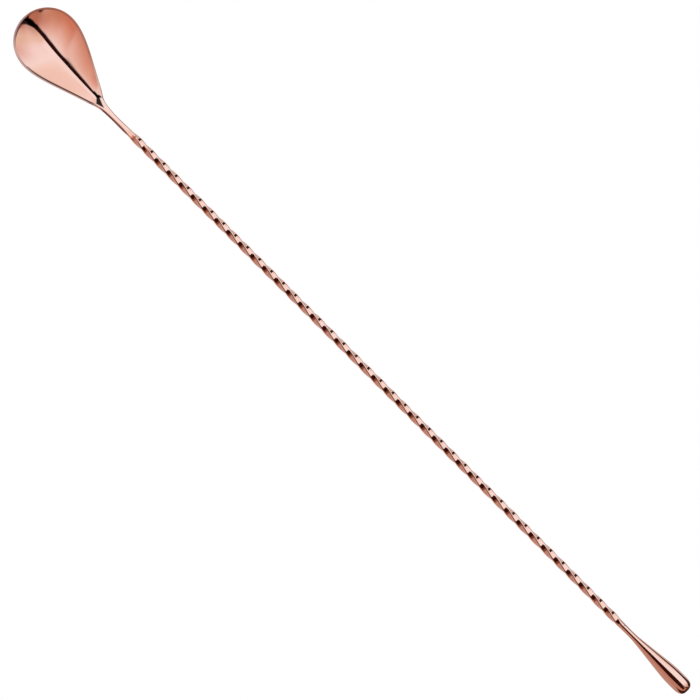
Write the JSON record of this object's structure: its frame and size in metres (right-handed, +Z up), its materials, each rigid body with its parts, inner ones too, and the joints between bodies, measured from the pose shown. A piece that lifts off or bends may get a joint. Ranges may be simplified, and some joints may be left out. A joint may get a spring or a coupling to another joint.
{
  "type": "bar spoon",
  "caption": "Long bar spoon with a forged teardrop bowl, a twisted square shaft and a solid teardrop counterweight, in polished copper plate.",
  "frame": {"origin": "middle of the spoon's length and width, on the table it rests on", "axes": "+X along the spoon from the bowl to the counterweight, +Z up out of the bowl, +Y to the left when looking along +X"},
  "size_m": [0.4, 0.0318, 0.0097],
  "materials": {
    "copper_plate": "polished",
    "braze_filler": "satin"
  },
  "bodies": {
    "root": {"bowl": "copper_plate", "twisted_shaft": "copper_plate", "counterweight": "copper_plate", "neck_braze_joint": "braze_filler", "tail_braze_joint": "braze_filler"}
  },
  "joints": []
}
